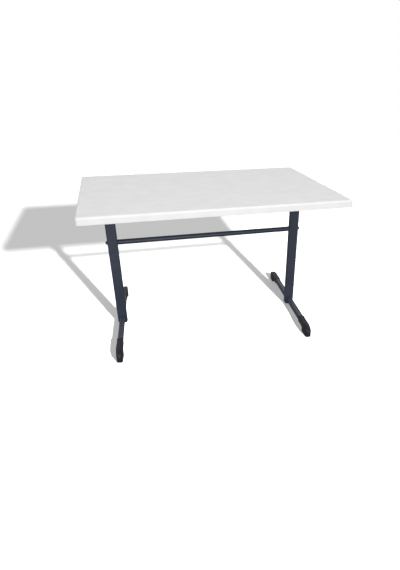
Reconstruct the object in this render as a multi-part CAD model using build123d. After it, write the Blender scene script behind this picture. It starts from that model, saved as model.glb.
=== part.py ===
from build123d import *
import os

# Folding table: a moulded top that tips upright on pivots at the heads of two T-shaped
# steel legs. Millimetres, +Z up, +X along the long side, +Y away from the front edge.
# The origin is on the floor under the middle of the top.

# Overall size
TOP_LENGTH = 1200
TOP_WIDTH = 800
HEIGHT = 700

# Moulded top: a flat panel with a deeper rim
RIM_DEPTH = 33
PANEL_THICK = 20
RIM_WIDTH = 17
TOP_CORNER_R = 12
TOP_EDGE_R = 9
RIM_LOWER_R = 2.5
POCKET_CORNER_R = 16
POCKET_DRAFT = 12

# Leg posts: flat-sided tube, its wide face to the front
POST_X = 477
POST_Y = -8
POST_WIDE = 50
POST_DEEP = 25
POST_WALL = 2
POST_CORNER_R = 5
POST_BOTTOM = 11

# Pivot bolt through the head of each post
PIVOT_DROP = 51
BOLT_D = 10
BOLT_FIT = 0.05
BOLT_CLEAR = 0.2
SLEEVE_D = 14
POST_ABOVE_PIVOT = 20
CAP_STEM = 10
CAP_WALL = 2
STOP_GAP = 0.3
SWING_GAP = 0.4

# Bearers: folded steel channel under the top
BEARER_STEEL = 3
BEARER_LENGTH = 500
BEARER_BEND_R = 4
WASHER_THICK = 1
WASHER_D = 30
WASHER_GAP = 0.2
CHEEK_BELOW_PIVOT = 16
CHEEK_END_DEPTH = 12
CHEEK_FLAT = 26
CHEEK_TAPER_END = 105
CHEEK_CORNER_R = 9
CHEEK_TAPER_R = 30

# Screws from the bearers into inserts in the top
SCREW_D = 6
SCREW_HEAD_D = 12
SCREW_HEAD_H = 3.6
SCREW_SOCKET = 4
INSERT_D = 9
INSERT_LENGTH = 12
SCREW_OUT = 16
SCREW_ENDS = 225
SCREW_MIDDLE = 115

# Buffers that meet the posts when the top is upright
BUFFER_D = 20
BUFFER_OUT = 75
BUFFER_GAP = 0.3
BUFFER_RECESS = 6
BUFFER_SCREW_D = 4
BUFFER_SCREW_LENGTH = 22
BUFFER_HEAD_D = 8
BUFFER_HEAD_H = 3

# Cam clamps on the pivot bolts
CAM_R = 10
CAM_OFFSET = 1
CAM_GAP = 0.2
CAM_WASHER = 3
CAM_WASHER_D = 22
CAM_HEIGHT = 22
EYE_R = 6
EYE_HEIGHT = 11
EYE_GAP = 0.3
CAM_PIN_D = 5
LEVER_LENGTH = 82
LEVER_ROOT_R = 8
LEVER_END_R = 6
LEVER_HEIGHT = 16
SLOT_BACK = 7.5
NUT_WASHER = 2
NUT_WASHER_D = 21
NUT_WIDE = 17
NUT_HIGH = 10
BOLT_PAST_NUT = 2

# Round crossbar bolted between the posts
CROSSBAR_Z = 458
CROSSBAR_D = 25
CROSSBAR_WALL = 1.5
BAR_BOLT_D = 8
BAR_BOLT_HOLE = 8.4
BAR_PLUG_LENGTH = 22
BAR_WASHER_D = 20
BAR_WASHER = 1.6
BAR_HEAD_D = 16
BAR_HEAD_H = 7
HEX_SOCKET = 5
HEX_DEPTH = 3.5

# Foot bars, set askew so that one table nests into the next
FOOT_SKEW = -4.7
FOOT_REACH = 392
FOOT_WIDE = 25
FOOT_HIGH = 30
FOOT_UNDER = 22
FOOT_WALL = 2
FOOT_CORNER_R = 5
END_PLUG_LIP = 3
END_PLUG_STEM = 12
POST_END_R = 12

# Moulded shoes on the ends of the foot bars
SHOE_SLEEVE = 140
SHOE_BLOCK = 70
SHOE_SKIN = 2
SHOE_TIP_WIDE = 28
SHOE_WIDE = 33
SHOE_WIDEST = 64
SHOE_FLARE = 108
SHOE_BLEND_R = 220
SHOE_TIP_R = 11
SHOE_NOSE_HIGH = 42
SHOE_SLOPE = 58
SHOE_SCREW_D = 4
SHOE_SCREW_HEAD_D = 8
SHOE_SCREW_HEAD_H = 2.4
SHOE_SCREW_LENGTH = 9
SHOE_SCREW_IN = 112

# Worked out from the sizes above
SIDES = {"left": -1, "right": 1}
SHOE_TURNS = {"front": 0, "rear": 180}
PIVOT_Z = HEIGHT - PIVOT_DROP
PANEL_UNDER = HEIGHT - PANEL_THICK
PANEL_REACH = PANEL_UNDER - PIVOT_Z
WEB_REACH = PANEL_REACH - BEARER_STEEL
POST_TOP = PIVOT_Z + POST_ABOVE_PIVOT
POST_HALF = POST_WIDE / 2
CHEEK_IN = POST_HALF + WASHER_THICK + WASHER_GAP
CHEEK_OUT = CHEEK_IN + BEARER_STEEL
CAM_PIN_X = CHEEK_OUT + CAM_WASHER + CAM_GAP + CAM_R + CAM_OFFSET
BUFFER_HEIGHT = WEB_REACH - POST_DEEP / 2 - BUFFER_GAP
FOOT_MIDDLE = FOOT_UNDER + FOOT_HIGH / 2
FOOT_TOP = FOOT_UNDER + FOOT_HIGH
BAR_REACH = FOOT_REACH - SHOE_SLOPE


def rod_x(diameter, x_from, x_to):
    """A round bar lying on the X axis."""
    bar = Rot(0, 90, 0) * Cylinder(diameter / 2, x_to - x_from)
    return Pos((x_from + x_to) / 2, 0, 0) * bar


def rod_z(diameter, z_from, z_to):
    """A round bar standing on the Z axis."""
    return Pos(0, 0, (z_from + z_to) / 2) * Cylinder(diameter / 2, z_to - z_from)


def outline(points, radii):
    """A closed outline with its corners rounded, as a face in the XY plane."""
    return make_face(FilletPolyline(*points, radius=radii, close=True).edges())


def tube_up(wide, deep, corner, wall, length):
    """A flat-sided tube standing on the XY plane."""
    outer = RectangleRounded(wide, deep, corner)
    bore = RectangleRounded(wide - 2 * wall, deep - 2 * wall, corner - wall)
    return extrude(outer - bore, length)


def at_pivot(side, shape):
    """Moves what is drawn about the right-hand pivot to the pivot of a side."""
    if side < 0:
        shape = mirror(shape, Plane.YZ)
    return Pos(side * POST_X, POST_Y, PIVOT_Z) * shape


def at_foot(side, shape):
    """Sets what is drawn along Y under a post on the skewed line of its foot bar."""
    return Pos(side * POST_X, POST_Y, 0) * Rot(0, 0, FOOT_SKEW) * shape


def pan_screw(diameter, length, head_d, head_h, socket):
    """A round-headed socket screw: shank up from the origin, head below it."""
    head = rod_z(head_d, -head_h, 0)
    head = fillet(head.faces().sort_by(Axis.Z)[0].edges(), head_h * 0.6)
    recess = extrude(RegularPolygon(socket / 2, 6, major_radius=False), head_h * 0.6)
    return head + rod_z(diameter, 0, length) - Pos(0, 0, -head_h) * recess


def bearer_screw_places():
    """Screw centres on a bearer, measured along X and Y from its pivot."""
    ends = [(x, y) for x in (-SCREW_OUT, SCREW_OUT) for y in (-SCREW_ENDS, SCREW_ENDS)]
    return ends + [(0, -SCREW_MIDDLE), (0, SCREW_MIDDLE)]


def tabletop():
    """Panel and rim moulded in one piece, with blind holes for the fixings."""
    blank = extrude(RectangleRounded(TOP_LENGTH, TOP_WIDTH, TOP_CORNER_R), RIM_DEPTH)
    blank = fillet(blank.faces().sort_by(Axis.Z)[-1].edges(), TOP_EDGE_R)
    blank = fillet(blank.faces().sort_by(Axis.Z)[0].edges(), RIM_LOWER_R)
    mouth_long = TOP_LENGTH - 2 * RIM_WIDTH
    mouth_wide = TOP_WIDTH - 2 * RIM_WIDTH
    mouth = RectangleRounded(mouth_long, mouth_wide, POCKET_CORNER_R)
    pocket = extrude(mouth, RIM_DEPTH - PANEL_THICK, taper=POCKET_DRAFT)
    top = Pos(0, 0, HEIGHT - RIM_DEPTH) * (blank - pocket)
    insert_hole = rod_z(INSERT_D, 0, INSERT_LENGTH)
    pilot_depth = BUFFER_SCREW_LENGTH - (BUFFER_HEIGHT - BUFFER_RECESS) - BEARER_STEEL
    pilot = Pos(0, -BUFFER_OUT, 0) * rod_z(BUFFER_SCREW_D, 0, pilot_depth)
    for side in SIDES.values():
        place = Pos(side * POST_X, POST_Y, PANEL_UNDER)
        for x, y in bearer_screw_places():
            top -= place * Pos(x, y, 0) * insert_hole
        top -= place * pilot
    return top


def bearer():
    """Channel with its web against the panel and a cheek on each side of the post."""
    end_low = WEB_REACH - CHEEK_END_DEPTH
    half = BEARER_LENGTH / 2
    right_half = [(half, PANEL_REACH), (half, end_low), (CHEEK_TAPER_END, end_low),
                  (CHEEK_FLAT, -CHEEK_BELOW_PIVOT)]
    left_half = [(-y, z) for y, z in reversed(right_half)]
    radii = [0, CHEEK_CORNER_R, CHEEK_TAPER_R, CHEEK_TAPER_R]
    side_view = Plane.YZ * outline(right_half + left_half, radii + radii[::-1])
    lowest = -CHEEK_BELOW_PIVOT - 1
    section = outline([(-CHEEK_OUT, lowest), (CHEEK_OUT, lowest),
                       (CHEEK_OUT, PANEL_REACH), (-CHEEK_OUT, PANEL_REACH)],
                      [0, 0, BEARER_BEND_R, BEARER_BEND_R])
    section -= outline([(-CHEEK_IN, lowest - 1), (CHEEK_IN, lowest - 1),
                        (CHEEK_IN, WEB_REACH), (-CHEEK_IN, WEB_REACH)],
                       [0, 0, BEARER_BEND_R - BEARER_STEEL, BEARER_BEND_R - BEARER_STEEL])
    channel = extrude(Plane.XZ * section, half, both=True)
    channel &= extrude(side_view, CHEEK_OUT + 1, both=True)
    channel -= rod_x(BOLT_D + 2 * BOLT_CLEAR, -CHEEK_OUT - 1, CHEEK_OUT + 1)
    for x, y in bearer_screw_places():
        channel -= Pos(x, y, WEB_REACH - 1) * rod_z(SCREW_D, 0, BEARER_STEEL + 2)
    channel -= Pos(0, -BUFFER_OUT, WEB_REACH - 1) * rod_z(BUFFER_SCREW_D, 0, BEARER_STEEL + 2)
    return channel


def bearer_screws():
    """The screws of one bearer, heads under the web."""
    screw = pan_screw(SCREW_D, BEARER_STEEL + INSERT_LENGTH - 1, SCREW_HEAD_D, SCREW_HEAD_H,
                      SCREW_SOCKET)
    return Compound([Pos(x, y, WEB_REACH) * screw for x, y in bearer_screw_places()])


def top_inserts():
    """The threaded inserts over one bearer, set in the panel."""
    ring = rod_z(INSERT_D, 0, INSERT_LENGTH) - rod_z(SCREW_D, 0, INSERT_LENGTH)
    return Compound([Pos(x, y, PANEL_REACH) * ring for x, y in bearer_screw_places()])


def fold_buffer():
    """Rubber buffer under the web, recessed for its screw."""
    body = rod_z(BUFFER_D, 0, BUFFER_HEIGHT)
    body = fillet(body.faces().sort_by(Axis.Z)[0].edges(), 2)
    body -= rod_z(BUFFER_HEAD_D, 0, BUFFER_RECESS) + rod_z(BUFFER_SCREW_D, 0, BUFFER_HEIGHT)
    return Pos(0, -BUFFER_OUT, WEB_REACH - BUFFER_HEIGHT) * body


def buffer_screw():
    """Screw through the buffer and the web into the panel."""
    screw = pan_screw(BUFFER_SCREW_D, BUFFER_SCREW_LENGTH, BUFFER_HEAD_D, BUFFER_HEAD_H, 2.5)
    return Pos(0, -BUFFER_OUT, WEB_REACH - BUFFER_HEIGHT + BUFFER_RECESS) * screw


def foot_bar_outside(reach):
    """The outer shape of a foot bar, drawn along Y."""
    blank = extrude(RectangleRounded(FOOT_WIDE, FOOT_HIGH, FOOT_CORNER_R), reach, both=True)
    return Pos(0, 0, FOOT_MIDDLE) * Rot(90, 0, 0) * blank


def post_end_form(side):
    """What the lower end of a post and its plug are rounded to, seen from the front."""
    lowest = POST_BOTTOM - END_PLUG_LIP
    form = outline([(-POST_HALF, lowest), (POST_HALF, lowest), (POST_HALF, HEIGHT),
                    (-POST_HALF, HEIGHT)], [POST_END_R, POST_END_R, 0, 0])
    form = extrude(Plane.XZ * form, POST_DEEP, both=True)
    return Pos(side * POST_X, POST_Y, 0) * form


def post(side):
    """Upright tube, drilled for the pivot and the crossbar and notched over its foot bar."""
    length = POST_TOP - POST_BOTTOM
    tube = tube_up(POST_WIDE, POST_DEEP, POST_CORNER_R, POST_WALL, length)
    tube = Pos(0, 0, POST_BOTTOM) * tube
    tube -= Pos(0, 0, PIVOT_Z) * rod_x(SLEEVE_D, -POST_WIDE, POST_WIDE)
    tube -= Pos(0, 0, CROSSBAR_Z) * rod_x(BAR_BOLT_HOLE, -POST_WIDE, POST_WIDE)
    tube = Pos(side * POST_X, POST_Y, 0) * tube
    return tube & post_end_form(side) - at_foot(side, foot_bar_outside(POST_WIDE))


def pivot_sleeve():
    """Steel sleeve welded through the post, which the pivot bolt turns in."""
    tube = rod_x(SLEEVE_D, -POST_HALF, POST_HALF)
    return tube - rod_x(BOLT_D + 2 * BOLT_FIT, -POST_WIDE, POST_WIDE)


def post_cap():
    """Moulded cap: the top rests on its flat, and its front is round so that the web can pass."""
    rest = WEB_REACH - STOP_GAP
    head = Pos(0, 0, POST_ABOVE_PIVOT) * extrude(
        RectangleRounded(POST_WIDE, POST_DEEP, POST_CORNER_R), rest - POST_ABOVE_PIVOT)
    round_front = rod_x(2 * (WEB_REACH - SWING_GAP), -POST_WIDE, POST_WIDE)
    flat_back = Pos(0, POST_DEEP / 2, POST_ABOVE_PIVOT) * Box(2 * POST_WIDE, POST_DEEP, POST_WIDE)
    head &= round_front + flat_back
    stem = tube_up(POST_WIDE - 2 * POST_WALL, POST_DEEP - 2 * POST_WALL,
                   POST_CORNER_R - POST_WALL, CAP_WALL, CAP_STEM)
    return head + Pos(0, 0, POST_ABOVE_PIVOT - CAP_STEM) * stem


def side_washers():
    """Nylon washers on both sides of the post, for the cheeks to turn on."""
    bore = BOLT_D + 2 * BOLT_CLEAR
    rings = []
    for x in (-POST_HALF - WASHER_THICK, POST_HALF):
        ring = rod_x(WASHER_D, x, x + WASHER_THICK) - rod_x(bore, x - 1, x + WASHER_THICK + 1)
        rings.append(ring & Box(4 * POST_WIDE, POST_DEEP - 1, WASHER_D + 2))
    return Compound(rings)


def pivot_bolt():
    """Bolt through cheeks and post, with an eye for the cam pin on its outer end."""
    inner_end = -CHEEK_OUT - NUT_WASHER - NUT_HIGH - BOLT_PAST_NUT
    shank = rod_x(BOLT_D, inner_end, CAM_PIN_X)
    shank = chamfer(shank.faces().sort_by(Axis.X)[0].edges(), 1)
    eye = Pos(CAM_PIN_X, 0, 0) * rod_z(2 * EYE_R, -EYE_HEIGHT / 2, EYE_HEIGHT / 2)
    return shank + eye - Pos(CAM_PIN_X, 0, 0) * rod_z(CAM_PIN_D, -CAM_HEIGHT, CAM_HEIGHT)


def lock_nut():
    """Hexagon nut with a rounded collar, on the inner end of the pivot bolt."""
    blank = extrude(RegularPolygon(NUT_WIDE / 2, 6, major_radius=False), NUT_HIGH * 0.75)
    collar = rod_z(NUT_WIDE - 3, NUT_HIGH * 0.75, NUT_HIGH)
    collar = fillet(collar.faces().sort_by(Axis.Z)[-1].edges(), 1.2)
    blank = blank + collar - rod_z(BOLT_D, -1, NUT_HIGH + 1)
    return Pos(-CHEEK_OUT - NUT_WASHER, 0, 0) * Rot(0, -90, 0) * blank


def nut_washer():
    """Plain washer between the lock nut and the inner cheek."""
    x = -CHEEK_OUT - NUT_WASHER
    return rod_x(NUT_WASHER_D, x, x + NUT_WASHER) - rod_x(BOLT_D, x - 1, x + NUT_WASHER + 1)


def cam_washer():
    """Thick washer that the cam bears on."""
    x = CHEEK_OUT
    ring = rod_x(CAM_WASHER_D, x, x + CAM_WASHER)
    ring = chamfer(ring.faces().sort_by(Axis.X)[-1].edges(), 0.8)
    return ring - rod_x(BOLT_D, x - 1, x + CAM_WASHER + 1)


def cam_lever():
    """Lever with an off-centre round head, forked over the eye of the bolt."""
    head = Pos(-CAM_OFFSET, 0) * Circle(CAM_R)
    arm_root = Pos(0, -CAM_R) * Circle(LEVER_ROOT_R)
    arm_end = Pos(LEVER_END_R / 2, -LEVER_LENGTH) * Circle(LEVER_END_R)
    arm = make_hull((arm_root + arm_end).edges())
    lever = extrude(head, CAM_HEIGHT / 2, both=True) + extrude(arm, LEVER_HEIGHT / 2, both=True)
    slot_width = EYE_HEIGHT + 2 * EYE_GAP
    slot = Pos(0, CAM_R * 2 - SLOT_BACK, 0) * Box(CAM_R * 6, CAM_R * 4, slot_width)
    lever -= slot
    lever -= rod_z(CAM_PIN_D + 2 * BOLT_FIT, -CAM_HEIGHT, CAM_HEIGHT)
    return Pos(CAM_PIN_X, 0, 0) * lever


def cam_pin():
    """Pin pressed through the eye of the bolt, which the lever turns on."""
    return Pos(CAM_PIN_X, 0, 0) * rod_z(CAM_PIN_D, -CAM_HEIGHT / 2, CAM_HEIGHT / 2)


def crossbar():
    """Round tube from post to post."""
    end = POST_X - POST_HALF
    bore = CROSSBAR_D - 2 * CROSSBAR_WALL
    bar = rod_x(CROSSBAR_D, -end, end) - rod_x(bore, -end - 1, end + 1)
    return Pos(0, POST_Y, CROSSBAR_Z) * bar


def at_crossbar_ends(shape):
    """One copy of a shape at each post, drawn as it lies at the right-hand post."""
    right = Pos(POST_X, POST_Y, CROSSBAR_Z) * shape
    return Compound([right, mirror(right, Plane.YZ)])


def crossbar_plugs():
    """Threaded plugs in the ends of the crossbar."""
    bore = CROSSBAR_D - 2 * CROSSBAR_WALL
    plug = rod_x(bore, -POST_HALF - BAR_PLUG_LENGTH, -POST_HALF)
    return at_crossbar_ends(plug - rod_x(BAR_BOLT_D, -POST_WIDE * 2, 0))


def crossbar_washers():
    """Washers under the heads of the crossbar bolts."""
    ring = rod_x(BAR_WASHER_D, POST_HALF, POST_HALF + BAR_WASHER)
    return at_crossbar_ends(ring - rod_x(BAR_BOLT_D, 0, POST_WIDE))


def crossbar_bolts():
    """Dome-headed bolts through the posts into the crossbar plugs."""
    face = POST_HALF + BAR_WASHER
    head = rod_x(BAR_HEAD_D, face, face + BAR_HEAD_H)
    head = fillet(head.faces().sort_by(Axis.X)[-1].edges(), BAR_HEAD_H * 0.8)
    socket = extrude(RegularPolygon(HEX_SOCKET / 2, 6, major_radius=False), HEX_DEPTH)
    head -= Pos(face + BAR_HEAD_H - HEX_DEPTH, 0, 0) * Rot(0, 90, 0) * socket
    shank = rod_x(BAR_BOLT_D, -POST_HALF - BAR_PLUG_LENGTH + 3, face)
    return at_crossbar_ends(head + shank)


def foot_bar():
    """Rounded tube along the floor, run through the foot of the post and welded there."""
    bar = foot_bar_outside(BAR_REACH)
    bore = RectangleRounded(FOOT_WIDE - 2 * FOOT_WALL, FOOT_HIGH - 2 * FOOT_WALL,
                            FOOT_CORNER_R - FOOT_WALL)
    bore = Rot(90, 0, 0) * extrude(bore, FOOT_REACH, both=True)
    bar -= Pos(0, 0, FOOT_MIDDLE) * bore
    for turn in SHOE_TURNS.values():
        bar -= Rot(0, 0, turn) * Pos(0, shoe_screw_y(), 0) * rod_z(SHOE_SCREW_D, 0, FOOT_MIDDLE)
    return bar


def post_end_plug(side):
    """Moulded plug that closes the lower end of the post, with the foot bar through it."""
    lip = extrude(RectangleRounded(POST_WIDE, POST_DEEP, POST_CORNER_R), END_PLUG_LIP)
    stem = extrude(RectangleRounded(POST_WIDE - 2 * POST_WALL, POST_DEEP - 2 * POST_WALL,
                                    POST_CORNER_R - POST_WALL), END_PLUG_STEM)
    plug = Pos(0, 0, POST_BOTTOM) * (Pos(0, 0, -END_PLUG_LIP) * lip + stem)
    plug = Pos(side * POST_X, POST_Y, 0) * plug
    return plug & post_end_form(side) - at_foot(side, foot_bar_outside(POST_WIDE))


def shoe_screw_y():
    """Where the screw of a front shoe stands along its foot bar."""
    return -(FOOT_REACH - SHOE_SCREW_IN)


def shoe():
    """Sleeve over the front end of a foot bar, with a block under its nose to stand on."""
    tip = -FOOT_REACH
    sleeve_end = tip + SHOE_SLEEVE
    block_end = tip + SHOE_BLOCK
    upper = FOOT_TOP + SHOE_SKIN
    lower = FOOT_UNDER - SHOE_SKIN
    side_view = outline(
        [(tip, 0), (block_end, 0), (block_end, lower), (sleeve_end, lower),
         (sleeve_end, upper), (tip + SHOE_SLOPE, upper), (tip, SHOE_NOSE_HIGH)],
        [6, 2, 3, 0.5, 1, 30, 12])
    sleeve_half = FOOT_WIDE / 2 + SHOE_SKIN
    right_half = [(SHOE_TIP_WIDE / 2, tip), (SHOE_WIDE / 2, tip + SHOE_WIDEST),
                  (sleeve_half, tip + SHOE_FLARE), (sleeve_half, sleeve_end)]
    left_half = [(-x, y) for x, y in reversed(right_half)]
    radii = [SHOE_TIP_R, SHOE_BLEND_R, SHOE_BLEND_R, 0]
    plan = outline(right_half + left_half, radii + radii[::-1])
    body = extrude(Plane.YZ * side_view, SHOE_WIDE, both=True)
    body &= extrude(plan, HEIGHT)
    body -= foot_bar_outside(BAR_REACH)
    return body - Pos(0, shoe_screw_y(), 0) * rod_z(SHOE_SCREW_D, 0, FOOT_MIDDLE)


def shoe_screw():
    """Screw up through a shoe's sleeve into its foot bar."""
    screw = pan_screw(SHOE_SCREW_D, SHOE_SCREW_LENGTH, SHOE_SCREW_HEAD_D, SHOE_SCREW_HEAD_H, 2.5)
    return Pos(0, shoe_screw_y(), FOOT_UNDER - SHOE_SKIN) * screw


def all_parts():
    """Every node by name, in its place."""
    parts = {"tabletop": tabletop()}
    pivot_makers = {
        "bearer": bearer, "bearer_screws": bearer_screws, "top_inserts": top_inserts,
        "fold_buffer": fold_buffer, "buffer_screw": buffer_screw, "post_cap": post_cap,
        "pivot_sleeve": pivot_sleeve, "side_washers": side_washers, "pivot_bolt": pivot_bolt,
        "lock_nut": lock_nut, "nut_washer": nut_washer, "cam_washer": cam_washer,
        "cam_lever": cam_lever, "cam_pin": cam_pin}
    for name, side in SIDES.items():
        for piece, make in pivot_makers.items():
            parts[f"{name}_{piece}"] = at_pivot(side, make())
        parts[f"{name}_post"] = post(side)
        parts[f"{name}_post_end_plug"] = post_end_plug(side)
        parts[f"{name}_foot_bar"] = at_foot(side, foot_bar())
        for end, turn in SHOE_TURNS.items():
            parts[f"{name}_{end}_shoe"] = at_foot(side, Rot(0, 0, turn) * shoe())
    parts["shoe_screws"] = Compound([
        at_foot(side, Rot(0, 0, turn) * shoe_screw())
        for side in SIDES.values() for turn in SHOE_TURNS.values()])
    parts["crossbar"] = crossbar()
    parts["crossbar_plugs"] = crossbar_plugs()
    parts["crossbar_washers"] = crossbar_washers()
    parts["crossbar_bolts"] = crossbar_bolts()
    return parts


os.makedirs("parts", exist_ok=True)
for node, shape in all_parts().items():
    export_step(shape, f"parts/{node}.step")
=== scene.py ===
import math
import bmesh
import bpy
from mathutils import Matrix, Vector


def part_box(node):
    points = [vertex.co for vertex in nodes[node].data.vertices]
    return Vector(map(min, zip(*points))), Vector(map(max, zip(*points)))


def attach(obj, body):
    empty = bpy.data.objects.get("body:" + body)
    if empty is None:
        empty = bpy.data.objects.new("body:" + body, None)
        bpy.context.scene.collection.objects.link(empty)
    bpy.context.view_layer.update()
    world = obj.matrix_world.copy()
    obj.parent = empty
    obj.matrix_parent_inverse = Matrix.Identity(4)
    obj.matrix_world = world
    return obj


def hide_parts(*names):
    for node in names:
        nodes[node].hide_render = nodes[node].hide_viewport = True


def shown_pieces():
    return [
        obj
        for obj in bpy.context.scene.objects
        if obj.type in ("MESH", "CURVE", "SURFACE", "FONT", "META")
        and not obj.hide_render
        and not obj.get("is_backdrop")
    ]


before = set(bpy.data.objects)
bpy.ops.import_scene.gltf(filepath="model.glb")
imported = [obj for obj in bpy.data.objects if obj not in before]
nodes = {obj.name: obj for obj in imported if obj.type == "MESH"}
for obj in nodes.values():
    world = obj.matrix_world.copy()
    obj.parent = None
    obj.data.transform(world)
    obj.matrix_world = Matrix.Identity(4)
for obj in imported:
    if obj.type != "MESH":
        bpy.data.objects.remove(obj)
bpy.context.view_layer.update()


# ---- Leg posts ----
# Flat-sided steel tube, drilled for the pivot and the crossbar and notched over the foot bar.
# The whole leg frame is powder coated dark slate blue after welding, with a fine orange peel.

SIDES = ("left", "right")


def start_finish(name, roughness, metallic=0.0):
    """A new material: gives it back with its node tree and its Principled shader."""
    finish = bpy.data.materials.new(name)
    finish.use_nodes = True
    shader = finish.node_tree.nodes["Principled BSDF"]
    shader.inputs["Roughness"].default_value = roughness
    shader.inputs["Metallic"].default_value = metallic
    return finish, finish.node_tree, shader


def noise(tree, cells, detail=2.0, stretch=(1.0, 1.0, 1.0)):
    """Noise that stays on the piece, with so many cells to a metre."""
    place = tree.nodes.new("ShaderNodeTexCoord")
    mapping = tree.nodes.new("ShaderNodeMapping")
    mapping.inputs["Scale"].default_value = stretch
    texture = tree.nodes.new("ShaderNodeTexNoise")
    texture.inputs["Scale"].default_value = cells
    texture.inputs["Detail"].default_value = detail
    tree.links.new(place.outputs["Object"], mapping.inputs["Vector"])
    tree.links.new(mapping.outputs["Vector"], texture.inputs["Vector"])
    return texture.outputs["Fac"]


def remap(tree, value, low, high, to_low=0.0, to_high=1.0):
    """Stretches the part of a value between low and high over a new range."""
    node = tree.nodes.new("ShaderNodeMapRange")
    tree.links.new(value, node.inputs["Value"])
    node.inputs["From Min"].default_value = low
    node.inputs["From Max"].default_value = high
    node.inputs["To Min"].default_value = to_low
    node.inputs["To Max"].default_value = to_high
    return node.outputs["Result"]


def mix_colour(tree, amount, first, second):
    """A colour between two others, each of which is a colour or an output."""
    node = tree.nodes.new("ShaderNodeMix")
    node.data_type = "RGBA"
    tree.links.new(amount, node.inputs[0])
    for socket, colour in ((node.inputs[6], first), (node.inputs[7], second)):
        if isinstance(colour, tuple):
            socket.default_value = (*colour, 1.0)
        else:
            tree.links.new(colour, socket)
    return node.outputs[2]


def emboss(tree, shader, *layers):
    """Raises layers of height on the surface, each an output and its depth in metres."""
    below = None
    for height, depth in layers:
        bump = tree.nodes.new("ShaderNodeBump")
        bump.inputs["Strength"].default_value = 1.0
        bump.inputs["Distance"].default_value = depth
        tree.links.new(height, bump.inputs["Height"])
        if below:
            tree.links.new(below, bump.inputs["Normal"])
        below = bump.outputs["Normal"]
    tree.links.new(below, shader.inputs["Normal"])


def corner_mask(tree, radius):
    """Is 0 on flat metal and rises to 1 along corners, out to about the radius."""
    rounded = tree.nodes.new("ShaderNodeBevel")
    rounded.samples = 4
    rounded.inputs["Radius"].default_value = radius
    plain = tree.nodes.new("ShaderNodeNewGeometry")
    compare = tree.nodes.new("ShaderNodeVectorMath")
    compare.operation = "DOT_PRODUCT"
    tree.links.new(rounded.outputs["Normal"], compare.inputs[0])
    tree.links.new(plain.outputs["Normal"], compare.inputs[1])
    return remap(tree, compare.outputs["Value"], 0.995, 0.90)


def powder_coat(name, top_light_and_dust=False):
    """Dark slate-blue powder coat: a slow random drift of tone, painted shade on the corners,
    orange peel. On a foot bar its upper face is also made lighter, partly dust and partly
    painted light from above."""
    finish, tree, shader = start_finish(name, 0.42)
    shader.inputs["Specular IOR Level"].default_value = 0.35
    drift = remap(tree, noise(tree, 7.0, 3.0), 0.35, 0.65)
    coat = mix_colour(tree, drift, (0.022, 0.029, 0.047), (0.030, 0.038, 0.061))
    fleck = remap(tree, noise(tree, 420.0, 2.0), 0.66, 0.74, 0.0, 0.30)
    coat = mix_colour(tree, fleck, coat, (0.055, 0.063, 0.088))
    # Painted shade: the rounded corners are darkened in the colour itself.
    painted_corner_shade = remap(tree, corner_mask(tree, 0.004), 0.0, 1.0, 0.0, 0.8)
    coat = mix_colour(tree, painted_corner_shade, coat, (0.010, 0.013, 0.028))
    if top_light_and_dust:
        # Partly dust, partly painted light: faces turned upwards get a lighter colour, as if lit
        # from above.
        facing = tree.nodes.new("ShaderNodeTexCoord")
        split = tree.nodes.new("ShaderNodeSeparateXYZ")
        tree.links.new(facing.outputs["Normal"], split.inputs["Vector"])
        dust_and_light_patches = remap(tree, noise(tree, 35.0, 4.0), 0.3, 0.7, 0.12, 0.40)
        dust_and_painted_top_light = mix_colour(tree, dust_and_light_patches, coat, (0.100, 0.108, 0.135))
        coat = mix_colour(tree, remap(tree, split.outputs["Z"], 0.5, 0.95), coat, dust_and_painted_top_light)
    tree.links.new(coat, shader.inputs["Base Color"])
    sheen = remap(tree, noise(tree, 60.0, 4.0), 0.3, 0.7, 0.36, 0.50)
    tree.links.new(sheen, shader.inputs["Roughness"])
    emboss(tree, shader, (noise(tree, 650.0, 1.0), 0.00006), (noise(tree, 2600.0, 1.0), 0.00001))
    return finish


def dress(finish, *names):
    """Gives CAD nodes their finish."""
    for name in names:
        for slot in nodes[name].material_slots:
            slot.material = finish


slate_coat = powder_coat("slate_powder_coat")
for side in SIDES:
    dress(slate_coat, f"{side}_post")


# ---- Foot bars and their welds ----
# Rounded tube run askew through a notch in the foot of each post, so that tables nest.
# A MIG bead goes round the bar on the front and back face of the post, under the same coat.

FOOT_SKEW = math.radians(-4.7)
BAR_HALF = 0.0125
BAR_CORNER = 0.005
BEAD_RADIUS = 0.0019
BEAD_PITCH = 0.0026
BEAD_RIPPLE = 0.10
BEAD_WANDER = 0.05
BEAD_WANDER_TURN = 0.071
BEAD_STEP = 0.00065
BEAD_SIDES = 10


def rounded_section(half_wide, low, high, upper_r, lower_r, steps):
    """Points round a section with round corners, anticlockwise from the upper right."""
    points = []
    corners = ((1, 1, upper_r), (-1, 1, upper_r), (-1, -1, lower_r), (1, -1, lower_r))
    for quarter, (across, up, radius) in enumerate(corners):
        radius = min(radius, half_wide * 0.98, (high - low) * 0.49)
        middle_x = across * (half_wide - radius)
        middle_z = high - radius if up > 0 else low + radius
        for step in range(steps + 1):
            turn = (quarter + step / steps) * math.pi / 2
            points.append((middle_x + radius * math.cos(turn), middle_z + radius * math.sin(turn)))
    return points


def evenly_spaced(points, spacing):
    """Walks round a closed outline and gives points that are about the spacing apart."""
    loop = [Vector(p) for p in points] + [Vector(points[0])]
    spots = []
    for start, end in zip(loop, loop[1:]):
        count = max(1, round((end - start).length / spacing))
        spots += [start.lerp(end, k / count) for k in range(count)]
    return spots


def skin_rings(mesh, rings, close_round=True, close_ends=False):
    """Joins rings of the same number of points into one skin."""
    rows = [[mesh.verts.new(point) for point in ring] for ring in rings]
    pairs = list(zip(rows, rows[1:])) + ([(rows[-1], rows[0])] if close_ends else [])
    for near, far in pairs:
        count = len(near) if close_round else len(near) - 1
        for k in range(count):
            after = (k + 1) % len(near)
            mesh.faces.new((near[k], near[after], far[after], far[k]))
    return rows


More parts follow.
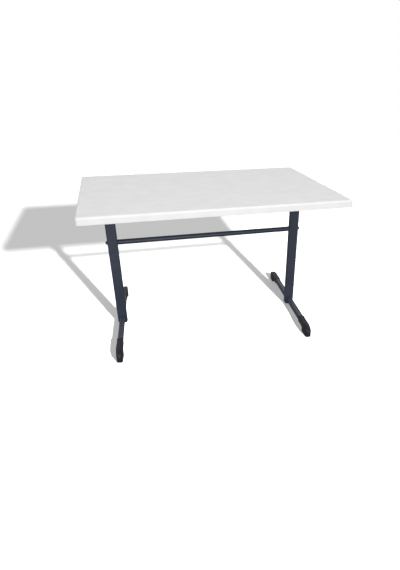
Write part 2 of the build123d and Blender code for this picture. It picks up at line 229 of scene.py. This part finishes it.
def make_piece(name, mesh, body, finish, replaced=(), sharp=math.radians(40)):
    """Turns a bmesh into a piece that rides on a body and has a finish."""
    bmesh.ops.recalc_face_normals(mesh, faces=mesh.faces)
    data = bpy.data.meshes.new(name)
    mesh.to_mesh(data)
    mesh.free()
    for face in data.polygons:
        face.use_smooth = True
    data.set_sharp_from_angle(angle=sharp)
    data.materials.append(finish)
    piece = bpy.data.objects.new(name, data)
    bpy.context.scene.collection.objects.link(piece)
    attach(piece, body)
    if replaced:
        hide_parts(*replaced)
    return piece


def weld_bead(mesh, centre, half_wide, low, high, outward):
    """A rippled bead round the bar, where it leaves a face of the post."""
    outline = rounded_section(half_wide, low, high, BAR_CORNER, BAR_CORNER, 8)
    spots = evenly_spaced(outline, BEAD_STEP)
    middle = (low + high) / 2
    rings = []
    for k, spot in enumerate(spots):
        along = spots[(k + 1) % len(spots)] - spots[k - 1]
        aside = Vector((along.y, -along.x)).normalized()
        ripple = 1.0 + BEAD_RIPPLE * math.sin(2 * math.pi * k * BEAD_STEP / BEAD_PITCH)
        ripple += BEAD_WANDER * math.sin(k * BEAD_WANDER_TURN + middle)
        ring = []
        for turn in range(BEAD_SIDES):
            angle = 2 * math.pi * turn / BEAD_SIDES
            reach = spot + aside * (BEAD_RADIUS * ripple * math.cos(angle))
            depth = outward * BEAD_RADIUS * ripple * math.sin(angle)
            ring.append(Vector((centre.x + reach.x, centre.y + depth, reach.y)))
        rings.append(ring)
    skin_rings(mesh, rings, close_ends=True)


# The foot bars' coat has its upper faces lightened: partly dust, partly painted light from above.
top_light_and_dust_coat = powder_coat("top_light_and_dust_powder_coat", top_light_and_dust=True)
for side in SIDES:
    dress(top_light_and_dust_coat, f"{side}_foot_bar")
    post_low, post_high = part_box(f"{side}_post")
    bar_low, bar_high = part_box(f"{side}_foot_bar")
    post_middle = (post_low + post_high) / 2
    beads = bmesh.new()
    bar_half = BAR_HALF / math.cos(FOOT_SKEW)
    for face_y, outward in ((post_low.y, -1), (post_high.y, 1)):
        offset = -(face_y - post_middle.y) * math.tan(FOOT_SKEW)
        weld_bead(beads, Vector((post_middle.x + offset, face_y)), bar_half, bar_low.z, bar_high.z,
                  outward)
    make_piece(f"{side}_weld_beads", beads, "leg_frame", slate_coat)


# ---- Post caps and end plugs ----
# Injection-moulded black nylon. The cap is pressed into the head of the post and carries the
# level top; the plug closes the foot of the post and is rounded off with it.


def black_nylon():
    """Moulded black nylon: fine sparked grain, a little grey where it is rubbed."""
    finish, tree, shader = start_finish("black_moulded_nylon", 0.5)
    shader.inputs["Specular IOR Level"].default_value = 0.26
    shade = remap(tree, noise(tree, 22.0, 3.0), 0.35, 0.65)
    body = mix_colour(tree, shade, (0.011, 0.010, 0.016), (0.017, 0.016, 0.024))
    rub = corner_mask(tree, 0.002)
    body = mix_colour(tree, remap(tree, rub, 0.3, 1.0, 0.0, 0.4), body, (0.028, 0.027, 0.037))
    scuff = remap(tree, noise(tree, 90.0, 5.0, (1.0, 0.25, 1.0)), 0.62, 0.72, 0.0, 0.35)
    body = mix_colour(tree, scuff, body, (0.030, 0.029, 0.038))
    tree.links.new(body, shader.inputs["Base Color"])
    gloss = remap(tree, noise(tree, 140.0, 3.0), 0.3, 0.7, 0.42, 0.58)
    tree.links.new(gloss, shader.inputs["Roughness"])
    emboss(tree, shader, (noise(tree, 1700.0, 2.0), 0.00004))
    return finish


moulded_black = black_nylon()
for side in SIDES:
    dress(moulded_black, f"{side}_post_cap", f"{side}_post_end_plug")


# ---- Shoes ----
# One-piece nylon mouldings pushed over the bar ends: a sleeve that swells towards the nose, a
# sloped blunt nose, and a grooved block below it that stands on the floor.

FOOT_REACH = 0.392
SHOE_LENGTH = 0.140
SHOE_BLOCK = 0.070
SHOE_TIP_HALF = 0.014
SHOE_WIDE_HALF = 0.0165
SHOE_WIDEST = 0.064
SHOE_FLARE = 0.108
SHOE_NOSE_HIGH = 0.042
SHOE_SLOPE = 0.058
SHOE_SKIN = 0.002
NOSE_PLAN_R = 0.011
NOSE_TOP_R = 0.014
NOSE_SOLE_R = 0.006
BLOCK_EDGE_R = 0.002
CROWN_R = 0.009
SLEEVE_CROWN_R = 0.005
KEEL_R = 0.0022
SLEEVE_KEEL_R = 0.004
COLLAR_LENGTH = 0.005
COLLAR_PROUD = 0.0006
TREAD_PITCH = 0.010
TREAD_WIDE = 0.0024
TREAD_DEEP = 0.0012
TREAD_FROM_TIP = 0.012
TREAD_FROM_HEEL = 0.008
SLEEVE_FIT = 0.0001
BORE_STEP = 0.020
NOSE_STATIONS_END = 0.0175
BLOCK_STATION = 0.003
SLEEVE_STATION = 0.006
HEEL_STATION = 0.00015
GROOVE_OUTSIDE = 0.0002
GROOVE_INSIDE = 0.0001
COLLAR_LEAD = 0.0008
COLLAR_ROUND = 0.0006
COLLAR_END = 0.0003


def ease(value):
    """A smooth step from 0 to 1."""
    value = min(max(value, 0.0), 1.0)
    return value * value * (3 - 2 * value)


def nose_cut(distance, radius):
    """How far a round nose stays back from its full size, at a distance from the tip."""
    if distance >= radius:
        return 0.0
    return radius - math.sqrt(radius ** 2 - (radius - distance) ** 2)


def shoe_half_width(distance):
    """Half the shoe's width, at a distance from its tip."""
    if distance < SHOE_WIDEST:
        swell = SHOE_TIP_HALF + (SHOE_WIDE_HALF - SHOE_TIP_HALF) * ease(distance / SHOE_WIDEST)
        return swell - nose_cut(distance, NOSE_PLAN_R)
    run = (distance - SHOE_WIDEST) / (SHOE_FLARE - SHOE_WIDEST)
    return SHOE_WIDE_HALF + (sleeve_half - SHOE_WIDE_HALF) * ease(run)


def shoe_upper(distance):
    """The height of the shoe's back, at a distance from its tip."""
    rise = SHOE_NOSE_HIGH + (sleeve_top - SHOE_NOSE_HIGH) * math.sin(
        min(distance / SHOE_SLOPE, 1.0) * math.pi / 2)
    return rise - nose_cut(distance, NOSE_TOP_R)


def shoe_lower(distance):
    """The height of the shoe's underside, at a distance from its tip."""
    if distance > SHOE_BLOCK:
        return sleeve_bottom
    sole = nose_cut(distance, NOSE_SOLE_R) + nose_cut(SHOE_BLOCK - distance, BLOCK_EDGE_R)
    in_groove = (distance - SHOE_BLOCK * 0.5) % TREAD_PITCH < TREAD_WIDE
    if in_groove and TREAD_FROM_TIP < distance < SHOE_BLOCK - TREAD_FROM_HEEL:
        sole += TREAD_DEEP
    return sole


def shoe_stations():
    """Distances from the tip at which the shoe's sections stand."""
    nose = [NOSE_TOP_R * (1 - math.cos(k / 10 * math.pi / 2)) for k in range(11)]
    stations = nose + [NOSE_STATIONS_END + BLOCK_STATION * k for k in range(18)]
    for k in range(-4, 4):
        groove = SHOE_BLOCK * 0.5 + k * TREAD_PITCH
        stations += [groove - GROOVE_OUTSIDE, groove + GROOVE_INSIDE]
        stations += [groove + TREAD_WIDE - GROOVE_INSIDE, groove + TREAD_WIDE + GROOVE_OUTSIDE]
    stations += [SHOE_BLOCK - BLOCK_EDGE_R * (1 - math.sin(k / 4 * math.pi / 2)) for k in range(5)]
    stations += [SHOE_BLOCK + HEEL_STATION]
    stations += [SHOE_BLOCK + SLEEVE_STATION * k for k in range(1, 11)]
    stations += [SHOE_LENGTH - COLLAR_LENGTH - COLLAR_LEAD, SHOE_LENGTH - COLLAR_LENGTH,
                 SHOE_LENGTH - COLLAR_ROUND, SHOE_LENGTH]
    return sorted(d for d in stations if d >= 0)


def shoe_section(distance, spread=0.0):
    """The outline of the shoe at a distance from its tip."""
    half = shoe_half_width(distance) + spread
    run = ease((distance - SHOE_WIDEST) / (SHOE_FLARE - SHOE_WIDEST))
    crown = CROWN_R - (CROWN_R - SLEEVE_CROWN_R) * run
    keel = KEEL_R if distance <= SHOE_BLOCK else SLEEVE_KEEL_R
    return rounded_section(half, shoe_lower(distance) - spread, shoe_upper(distance) + spread,
                           crown, keel, 7)


def collar(distance):
    """How much the sleeve's collar stands proud, rounded at its very end."""
    if distance < SHOE_LENGTH - COLLAR_LENGTH:
        return 0.0
    return COLLAR_PROUD if distance < SHOE_LENGTH - COLLAR_END else 0.0


for side in SIDES:
    for end, ahead in (("front", -1), ("rear", 1)):
        bar_low, bar_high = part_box(f"{side}_foot_bar")
        sleeve_half = BAR_HALF + SHOE_SKIN
        sleeve_top = bar_high.z + SHOE_SKIN
        sleeve_bottom = bar_low.z - SHOE_SKIN
        post_low, post_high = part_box(f"{side}_post")
        post_middle = (post_low + post_high) / 2
        skew = Matrix.Rotation(FOOT_SKEW + (math.pi if ahead > 0 else 0.0), 4, "Z")
        foot = Matrix.Translation((post_middle.x, post_middle.y, 0)) @ skew
        rings = []
        for distance in shoe_stations():
            section = shoe_section(distance, collar(distance))
            rings.append([foot @ Vector((x, distance - FOOT_REACH, z)) for x, z in section])
        bore = rounded_section(BAR_HALF + SLEEVE_FIT, bar_low.z - SLEEVE_FIT,
                               bar_high.z + SLEEVE_FIT, BAR_CORNER, BAR_CORNER, 7)
        for distance in (SHOE_LENGTH, SHOE_LENGTH - BORE_STEP, SHOE_SLOPE):
            rings.append([foot @ Vector((x, distance - FOOT_REACH, z)) for x, z in bore])
        shoe = bmesh.new()
        rows = skin_rings(shoe, rings)
        shoe.faces.new(rows[0])
        shoe.faces.new(rows[-1])
        make_piece(f"{side}_{end}_moulded_shoe", shoe, "leg_frame", moulded_black,
                   [f"{side}_{end}_shoe"], math.radians(50))


# ---- Crossbar and its bolts ----
# Round steel tube from post to post, powder coated with the legs. Plugs in its ends take one
# dome-headed socket bolt through each post, over a plain washer, both coated dark.


def dark_bolt_steel():
    """Dark coated bolt steel, a little brighter where the key and the box have rubbed it."""
    finish, tree, shader = start_finish("dark_coated_bolts", 0.38, 0.55)
    tone = remap(tree, noise(tree, 160.0, 3.0), 0.35, 0.65)
    coat = mix_colour(tree, tone, (0.022, 0.026, 0.038), (0.040, 0.045, 0.060))
    coat = mix_colour(tree, remap(tree, corner_mask(tree, 0.0012), 0.2, 1.0, 0.0, 0.6), coat,
                      (0.16, 0.165, 0.18))
    tree.links.new(coat, shader.inputs["Base Color"])
    emboss(tree, shader, (noise(tree, 1400.0, 2.0), 0.00002))
    return finish


coated_bolts = dark_bolt_steel()
dress(slate_coat, "crossbar")
dress(coated_bolts, "crossbar_bolts", "crossbar_washers")


# ---- Bearers ----
# Folded steel channels screwed up into the top, one over each post, powder coated like the legs.
# The welded pivot sleeve in the head of each post has the same coat.

for side in SIDES:
    dress(slate_coat, f"{side}_bearer", f"{side}_pivot_sleeve")


# ---- Moulded top ----
# Wood fibre pressed in one piece with its deeper rim, and faced all over with pale melamine
# under a satin press plate. The fixings sit in blind holes in its underside.

TOP_CORNER_R = 0.012
TOP_EDGE_R = 0.009
RIM_FOOT_R = 0.0025
RIM_WIDE = 0.017
RIM_INNER_EASE = ((0.0012, 0.0), (0.0003, 0.0004), (0.0, 0.0013))
PANEL_THICK = 0.020
POCKET_CORNER_R = 0.016
POCKET_DRAFT = math.tan(math.radians(12))
POCKET_BLEND_R = 0.003
INSERT_HOLE = 0.0092
INSERT_HOLE_DEEP = 0.0122
FIXING_ASIDE = 0.016
FIXING_OUTER = 0.225
FIXING_INNER = 0.115
BUFFER_HOLE = 0.0041
BUFFER_HOLE_SPARE = 0.0003
CORNER_STEPS = 10


def melamine():
    """Pale melamine: faint clouds and flecks, satin, with a few hairline wiping marks."""
    finish, tree, shader = start_finish("pale_melamine", 0.5)
    shader.inputs["Specular IOR Level"].default_value = 0.25
    cloud = remap(tree, noise(tree, 13.0, 6.0), 0.35, 0.65)
    face = mix_colour(tree, cloud, (0.688, 0.690, 0.692), (0.724, 0.725, 0.724))
    fleck = remap(tree, noise(tree, 120.0, 3.0), 0.55, 0.70, 0.0, 0.45)
    face = mix_colour(tree, fleck, face, (0.752, 0.752, 0.749))
    grain = remap(tree, noise(tree, 520.0, 2.0), 0.62, 0.72, 0.0, 0.30)
    face = mix_colour(tree, grain, face, (0.600, 0.604, 0.608))
    tree.links.new(face, shader.inputs["Base Color"])
    wiped = remap(tree, noise(tree, 14.0, 6.0, (1.0, 3.0, 1.0)), 0.3, 0.7, 0.46, 0.58)
    tree.links.new(wiped, shader.inputs["Roughness"])
    scratch = remap(tree, noise(tree, 40.0, 2.0, (0.4, 9.0, 1.0)), 0.70, 0.74)
    emboss(tree, shader, (noise(tree, 480.0, 3.0), 0.00005), (noise(tree, 28.0, 2.0), 0.00010),
           (scratch, -0.00002))
    return finish


def top_profile(high, low):
    """The rim's section as rings: how far in, the corner radius there, and the height."""
    rings = []
    for k in range(10):
        turn = k / 9 * math.pi / 2
        inset = TOP_EDGE_R * (1 - math.sin(turn))
        rings.append((inset, TOP_CORNER_R - inset, high - TOP_EDGE_R * (1 - math.cos(turn))))
    for k in range(5):
        turn = k / 4 * math.pi / 2
        inset = RIM_FOOT_R * (1 - math.cos(turn))
        rings.append((inset, TOP_CORNER_R - inset, low + RIM_FOOT_R * (1 - math.sin(turn))))
    rings += [(RIM_WIDE - back, POCKET_CORNER_R, low + up) for back, up in RIM_INNER_EASE]
    panel = high - PANEL_THICK
    reach = RIM_WIDE + (panel - low - POCKET_BLEND_R) * POCKET_DRAFT
    for k in range(5):
        turn = k / 4 * math.pi / 2
        inset = reach + POCKET_BLEND_R * (1 - math.cos(turn))
        rings.append((inset, POCKET_CORNER_R, panel - POCKET_BLEND_R * (1 - math.sin(turn))))
    return rings


def flat_ring(half_long, half_wide, radius, height):
    """Points round a rectangle with round corners, lying level."""
    outline = rounded_section(half_long, -half_wide, half_wide, radius, radius, CORNER_STEPS)
    return [Vector((x, y, height)) for x, y in outline]


def drill(mesh, centre, diameter, depth):
    """A blind hole up into the underside, as a short plug to be cut away."""
    place = Matrix.Translation(centre + Vector((0, 0, depth / 2 - 0.001)))
    bmesh.ops.create_cone(mesh, cap_ends=True, segments=24, radius1=diameter / 2,
                          radius2=diameter / 2, depth=depth + 0.002, matrix=place)


def combine(piece, mesh, operation):
    """Joins a closed mesh to a piece, or cuts it away, and leaves one clean skin."""
    bmesh.ops.recalc_face_normals(mesh, faces=mesh.faces)
    data = bpy.data.meshes.new("tool")
    mesh.to_mesh(data)
    mesh.free()
    tool = bpy.data.objects.new("tool", data)
    bpy.context.scene.collection.objects.link(tool)
    change = piece.modifiers.new("change", "BOOLEAN")
    change.operation = operation
    change.solver = "EXACT"
    change.object = tool
    bpy.context.view_layer.objects.active = piece
    piece.select_set(True)
    bpy.ops.object.modifier_apply(modifier=change.name)
    bpy.data.objects.remove(tool)


def even_shading(piece):
    """Lets the large faces of a piece decide how its round edges are shaded."""
    even = piece.modifiers.new("even_shading", "WEIGHTED_NORMAL")
    even.keep_sharp = True
    bpy.context.view_layer.objects.active = piece
    bpy.ops.object.modifier_apply(modifier=even.name)


top_low, top_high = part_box("tabletop")
top_half = (top_high - top_low) / 2
moulding = bmesh.new()
rings = [flat_ring(top_half.x - inset, top_half.y - inset, radius, height)
         for inset, radius, height in top_profile(top_high.z, top_low.z)]
rows = skin_rings(moulding, rings)
moulding.faces.new(rows[0])
moulding.faces.new(rows[-1])
pale_melamine = melamine()
tabletop = make_piece("tabletop_moulding", moulding, "top", pale_melamine,
                      ["tabletop"], math.radians(35))

drills = bmesh.new()
fixings = [(aside, along) for aside in (-FIXING_ASIDE, FIXING_ASIDE)
           for along in (-FIXING_OUTER, FIXING_OUTER)]
fixings += [(0.0, -FIXING_INNER), (0.0, FIXING_INNER)]
for side in SIDES:
    insert_low, insert_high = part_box(f"{side}_top_inserts")
    insert_middle = (insert_low + insert_high) / 2
    for aside, along in fixings:
        mouth = Vector((insert_middle.x + aside, insert_middle.y + along, insert_low.z))
        drill(drills, mouth, INSERT_HOLE, INSERT_HOLE_DEEP)
    screw_low, screw_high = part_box(f"{side}_buffer_screw")
    screw_middle = (screw_low + screw_high) / 2
    mouth = Vector((screw_middle.x, screw_middle.y, insert_low.z))
    drill(drills, mouth, BUFFER_HOLE, screw_high.z - insert_low.z + BUFFER_HOLE_SPARE)
combine(tabletop, drills, "DIFFERENCE")
even_shading(tabletop)


# ---- Zinc-plated fixings and brass inserts ----
# Screws, pivot bolts, nuts, washers and cam pins are bought-in parts with bright zinc plating.
# The inserts are turned brass, and the washers beside each post are natural nylon.


def zinc_plate():
    """Bright zinc: slight blue and yellow drift, turned marks, and dulled patches."""
    finish, tree, shader = start_finish("zinc_plate", 0.3, 1.0)
    drift = remap(tree, noise(tree, 130.0, 3.0), 0.35, 0.65)
    plate = mix_colour(tree, drift, (0.56, 0.58, 0.60), (0.68, 0.67, 0.64))
    dull = remap(tree, noise(tree, 420.0, 4.0), 0.52, 0.70, 0.0, 0.6)
    plate = mix_colour(tree, dull, plate, (0.42, 0.43, 0.44))
    tree.links.new(plate, shader.inputs["Base Color"])
    gloss = remap(tree, noise(tree, 300.0, 3.0), 0.3, 0.7, 0.22, 0.42)
    tree.links.new(gloss, shader.inputs["Roughness"])
    emboss(tree, shader, (noise(tree, 900.0, 2.0, (6.0, 1.0, 1.0)), 0.00003))
    return finish


def turned_brass():
    """Turned brass with fine tool marks."""
    finish, tree, shader = start_finish("turned_brass", 0.32, 1.0)
    tone = remap(tree, noise(tree, 200.0, 3.0), 0.35, 0.65)
    tree.links.new(mix_colour(tree, tone, (0.66, 0.47, 0.20), (0.78, 0.60, 0.30)),
                   shader.inputs["Base Color"])
    emboss(tree, shader, (noise(tree, 1500.0, 1.0, (1.0, 1.0, 8.0)), 0.00003))
    return finish


def natural_nylon():
    """Uncoloured nylon, slightly see-through looking and waxy."""
    finish, tree, shader = start_finish("natural_nylon", 0.45)
    shader.inputs["Subsurface Weight"].default_value = 0.15
    shader.inputs["Subsurface Radius"].default_value = (0.002, 0.002, 0.0015)
    tone = remap(tree, noise(tree, 90.0, 3.0), 0.35, 0.65)
    tree.links.new(mix_colour(tree, tone, (0.66, 0.64, 0.58), (0.76, 0.74, 0.69)),
                   shader.inputs["Base Color"])
    emboss(tree, shader, (noise(tree, 1300.0, 2.0), 0.00002))
    return finish


bright_zinc = zinc_plate()
brass = turned_brass()
pale_nylon = natural_nylon()
dress(bright_zinc, "shoe_screws", "crossbar_plugs")
for side in SIDES:
    dress(bright_zinc, f"{side}_bearer_screws", f"{side}_buffer_screw", f"{side}_pivot_bolt",
          f"{side}_lock_nut", f"{side}_nut_washer", f"{side}_cam_washer", f"{side}_cam_pin")
    dress(brass, f"{side}_top_inserts")
    dress(pale_nylon, f"{side}_side_washers")


# ---- Fold buffers ----
# Black rubber buttons screwed under the web, which meet the posts when the top stands upright.


def buffer_rubber():
    """Moulded rubber: matt, with a grey bloom."""
    finish, tree, shader = start_finish("buffer_rubber", 0.75)
    bloom = remap(tree, noise(tree, 170.0, 4.0), 0.45, 0.70, 0.0, 0.7)
    tree.links.new(mix_colour(tree, bloom, (0.022, 0.022, 0.022), (0.060, 0.060, 0.058)),
                   shader.inputs["Base Color"])
    emboss(tree, shader, (noise(tree, 1100.0, 3.0), 0.00006))
    return finish


rubber = buffer_rubber()
for side in SIDES:
    dress(rubber, f"{side}_fold_buffer")


# ---- Cam levers ----
# Die-cast levers with an off-centre head forked over the eye of the pivot bolt. A satin black
# coat has worn to grey on the corners that a thumb catches.

GRIP_START = 0.003
GRIP_ROOT = 0.010
GRIP_REACH = 0.088
GRIP_NOSE = 0.009
GRIP_TIP = 0.00012
GRIP_STATION = 0.004
GRIP_ROOT_HALF = 0.008
GRIP_END_HALF = 0.006
GRIP_OUT = 0.003
GRIP_HALF_HIGH = 0.008
GRIP_THINNING = 0.0012
GRIP_EDGE_R = 0.0026
THUMB_HOLLOW = 0.0018
THUMB_PLACE = 0.066
THUMB_SPREAD = 0.016
HEAD_R = 0.010
HEAD_INWARD = 0.001
HEAD_HALF_HIGH = 0.011
HEAD_EDGE_R = 0.0012
HEAD_SIDES = 48
PIN_HOLE = 0.0051
SLOT_WIDE = 0.060
SLOT_LONG = 0.040
SLOT_BACK = 0.0075
SLOT_HIGH = 0.0116


def lever_coat():
    """Satin black over cast metal, rubbed on its corners."""
    finish, tree, shader = start_finish("lever_black_coat", 0.36)
    tone = remap(tree, noise(tree, 70.0, 3.0), 0.35, 0.65)
    coat = mix_colour(tree, tone, (0.018, 0.018, 0.020), (0.030, 0.030, 0.034))
    rub = remap(tree, corner_mask(tree, 0.0015), 0.4, 1.0, 0.0, 0.7)
    coat = mix_colour(tree, rub, coat, (0.13, 0.13, 0.135))
    tree.links.new(coat, shader.inputs["Base Color"])
    emboss(tree, shader, (noise(tree, 750.0, 3.0), 0.00005))
    return finish


def lever_arm(mesh, pin, outward):
    """The grip: a bar with soft edges, hollowed for the thumb, round at its end."""
    stations = [GRIP_START + GRIP_STATION * k for k in range(18)]
    stations += [GRIP_REACH - GRIP_NOSE * (1 - math.sin(k / 12 * math.pi / 2)) for k in range(12)]
    rings = []
    for along in stations + [GRIP_REACH - GRIP_TIP]:
        run = min(max((along - GRIP_ROOT) / (GRIP_REACH - GRIP_END_HALF - GRIP_ROOT), 0.0), 1.0)
        hollow = THUMB_HOLLOW * ease(1 - abs(along - THUMB_PLACE) / THUMB_SPREAD)
        left = GRIP_REACH - along
        half = GRIP_ROOT_HALF + (GRIP_END_HALF - GRIP_ROOT_HALF) * run - hollow / 2
        high = GRIP_HALF_HIGH - GRIP_THINNING * run - nose_cut(left, GRIP_EDGE_R)
        middle = pin + Vector((outward * (GRIP_OUT * run - hollow / 2), -along, 0))
        section = rounded_section(half - nose_cut(left, GRIP_END_HALF), -high, high, GRIP_EDGE_R,
                                  GRIP_EDGE_R, 5)
        rings.append([middle + Vector((x, 0, z)) for x, z in section])
    rows = skin_rings(mesh, rings)
    mesh.faces.new(rows[0])
    mesh.faces.new(rows[-1])


def lever_head(mesh, centre):
    """The round head before its slot is cut, with softened rims."""
    turns = [k / 5 * math.pi / 2 for k in range(6)]
    upper = [(HEAD_R - HEAD_EDGE_R * (1 - math.cos(turn)),
              HEAD_HALF_HIGH - HEAD_EDGE_R * (1 - math.sin(turn))) for turn in turns]
    lower = [(radius, -height) for radius, height in reversed(upper)]
    around = [2 * math.pi * k / HEAD_SIDES for k in range(HEAD_SIDES)]
    rings = [[centre + Vector((radius * math.cos(angle), radius * math.sin(angle), height))
              for angle in around] for radius, height in lower + upper]
    rows = skin_rings(mesh, rings)
    mesh.faces.new(rows[0])
    mesh.faces.new(rows[-1])


satin_black = lever_coat()
for side, outward in (("left", -1), ("right", 1)):
    pin_low, pin_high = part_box(f"{side}_cam_pin")
    pin = (pin_low + pin_high) / 2
    grip = bmesh.new()
    lever_arm(grip, pin, outward)
    lever = make_piece(f"{side}_cast_lever", grip, f"{side}_lever", satin_black,
                       [f"{side}_cam_lever"])
    head = bmesh.new()
    lever_head(head, pin + Vector((-outward * HEAD_INWARD, 0, 0)))
    combine(lever, head, "UNION")
    slot = bmesh.new()
    slot_place = Matrix.Translation(pin + Vector((0, SLOT_LONG / 2 - SLOT_BACK, 0)))
    slot_size = Matrix.Diagonal((SLOT_WIDE, SLOT_LONG, SLOT_HIGH, 1))
    bmesh.ops.create_cube(slot, size=1.0, matrix=slot_place @ slot_size)
    combine(lever, slot, "DIFFERENCE")
    hole = bmesh.new()
    bmesh.ops.create_cone(hole, cap_ends=True, segments=32, radius1=PIN_HOLE / 2,
                          radius2=PIN_HOLE / 2, depth=HEAD_HALF_HIGH * 4,
                          matrix=Matrix.Translation(pin))
    combine(lever, hole, "DIFFERENCE")
    for face in lever.data.polygons:
        face.use_smooth = True
    lever.data.set_sharp_from_angle(angle=math.radians(35))
    even_shading(lever)


# ---- Studio ----
# A plain white floor in even white light. Two softboxes light the table alone, one over it and
# one before it, and a lamp on a stand lights only the floor, to give the long shadow behind.

FLOOR_RADIUS = 6.0
FLOOR_WHITE = 0.28
FLOOR_GLOW = 0.31
SKY_LIGHT = 0.84
LOW_LIGHT = 0.24
HORIZON_FROM = -0.05
HORIZON_TO = 0.12
SHADOW_LAMP = 400.0
SHADOW_LAMP_PLACE = (0.79, -3.70, 1.97)
SHADOW_LAMP_RADIUS = 0.08


def floor_paint():
    """Matt studio floor, with some light of its own so that shadows stay soft at the feet."""
    finish, tree, shader = start_finish("studio_floor", 1.0)
    shader.inputs["Specular IOR Level"].default_value = 0.0
    shader.inputs["Base Color"].default_value = (FLOOR_WHITE, FLOOR_WHITE, FLOOR_WHITE, 1.0)
    shader.inputs["Emission Color"].default_value = (1.0, 1.0, 1.0, 1.0)
    shader.inputs["Emission Strength"].default_value = FLOOR_GLOW
    return finish


floor_mesh = bmesh.new()
bmesh.ops.create_circle(floor_mesh, cap_ends=True, segments=96, radius=FLOOR_RADIUS)
floor_data = bpy.data.meshes.new("floor")
floor_mesh.to_mesh(floor_data)
floor_mesh.free()
floor_data.materials.append(floor_paint())
floor = bpy.data.objects.new("floor", floor_data)
floor.visible_diffuse = False
floor.visible_glossy = False
bpy.context.scene.collection.objects.link(floor)
floor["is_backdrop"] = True

room = bpy.data.worlds.new("room")
room.use_nodes = True
bpy.context.scene.world = room
sky = room.node_tree
direction = sky.nodes.new("ShaderNodeTexCoord")
split = sky.nodes.new("ShaderNodeSeparateXYZ")
sky.links.new(direction.outputs["Generated"], split.inputs["Vector"])
lit = sky.nodes["Background"]
lit.inputs["Color"].default_value = (1.0, 1.0, 1.0, 1.0)
horizon = remap(sky, split.outputs["Z"], HORIZON_FROM, HORIZON_TO, LOW_LIGHT, SKY_LIGHT)
sky.links.new(horizon, lit.inputs["Strength"])
seen = sky.nodes.new("ShaderNodeBackground")
seen.inputs["Color"].default_value = (1.0, 1.0, 1.0, 1.0)
path = sky.nodes.new("ShaderNodeLightPath")
either = sky.nodes.new("ShaderNodeMixShader")
sky.links.new(path.outputs["Is Camera Ray"], either.inputs["Fac"])
sky.links.new(lit.outputs["Background"], either.inputs[1])
sky.links.new(seen.outputs["Background"], either.inputs[2])
sky.links.new(either.outputs["Shader"], sky.nodes["World Output"].inputs["Surface"])

floor_only = bpy.data.collections.new("floor_only")
floor_only.objects.link(floor)
table_only = bpy.data.collections.new("table_only")
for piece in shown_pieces():
    table_only.objects.link(piece)


def add_lamp(name, kind, power, place, aim, receivers):
    """A lamp that shines from its place towards its aim, on the receivers alone."""
    data = bpy.data.lights.new(name, kind)
    data.energy = power
    lamp = bpy.data.objects.new(name, data)
    lamp.location = place
    lamp.rotation_mode = "QUATERNION"
    lamp.rotation_quaternion = (Vector(place) - Vector(aim)).to_track_quat("Z", "Y")
    lamp.light_linking.receiver_collection = receivers
    bpy.context.scene.collection.objects.link(lamp)
    return data


shadow_lamp = add_lamp("shadow_lamp", "POINT", SHADOW_LAMP, SHADOW_LAMP_PLACE, (0, 0, 0),
                       floor_only)
shadow_lamp.shadow_soft_size = SHADOW_LAMP_RADIUS
shadow_lamp.use_nodes = True
glow = shadow_lamp.node_tree
evenly = glow.nodes.new("ShaderNodeLightFalloff")
evenly.inputs["Strength"].default_value = 1.0
glow.links.new(evenly.outputs["Constant"], glow.nodes["Emission"].inputs["Strength"])
for name, power, place, size in (("softbox_over", 9.0, (0.2, -0.4, 2.9), (2.4, 2.0)),
                                 ("softbox_front", 82.0, (-0.2, -3.6, 1.1), (2.2, 1.4))):
    softbox = add_lamp(name, "AREA", power, place, (0, 0, 0.45), table_only)
    softbox.shape = "RECTANGLE"
    softbox.size, softbox.size_y = size


# ---- Camera ----
# A normal lens a little over two metres in front of the table and well above it, turned
# slightly to the right, with the table in the upper part of the frame.

LENS_MM = 28.27
LENS_SHIFT = (-0.06298, 0.06796)
CAMERA_PLACE = Vector((-0.42404, -2.2202, 1.21027))
CAMERA_TURN = math.radians(14.745)
CAMERA_DOWN = math.radians(29.694)
CAMERA_ROLL = math.radians(0.313)

ahead = Vector((math.sin(CAMERA_TURN) * math.cos(CAMERA_DOWN),
                math.cos(CAMERA_TURN) * math.cos(CAMERA_DOWN), -math.sin(CAMERA_DOWN)))
level_right = ahead.cross(Vector((0, 0, 1))).normalized()
level_up = level_right.cross(ahead)
right = level_right * math.cos(CAMERA_ROLL) + level_up * math.sin(CAMERA_ROLL)
up = level_up * math.cos(CAMERA_ROLL) - level_right * math.sin(CAMERA_ROLL)
lens = bpy.data.cameras.new("camera")
lens.sensor_width = 36.0
lens.lens = LENS_MM
lens.shift_x, lens.shift_y = LENS_SHIFT
camera = bpy.data.objects.new("camera", lens)
pose = Matrix((right, up, -ahead)).transposed().to_4x4()
camera.matrix_world = Matrix.Translation(CAMERA_PLACE) @ pose
bpy.context.scene.collection.objects.link(camera)
bpy.context.scene.camera = camera
bpy.context.scene.view_settings.view_transform = "Standard"
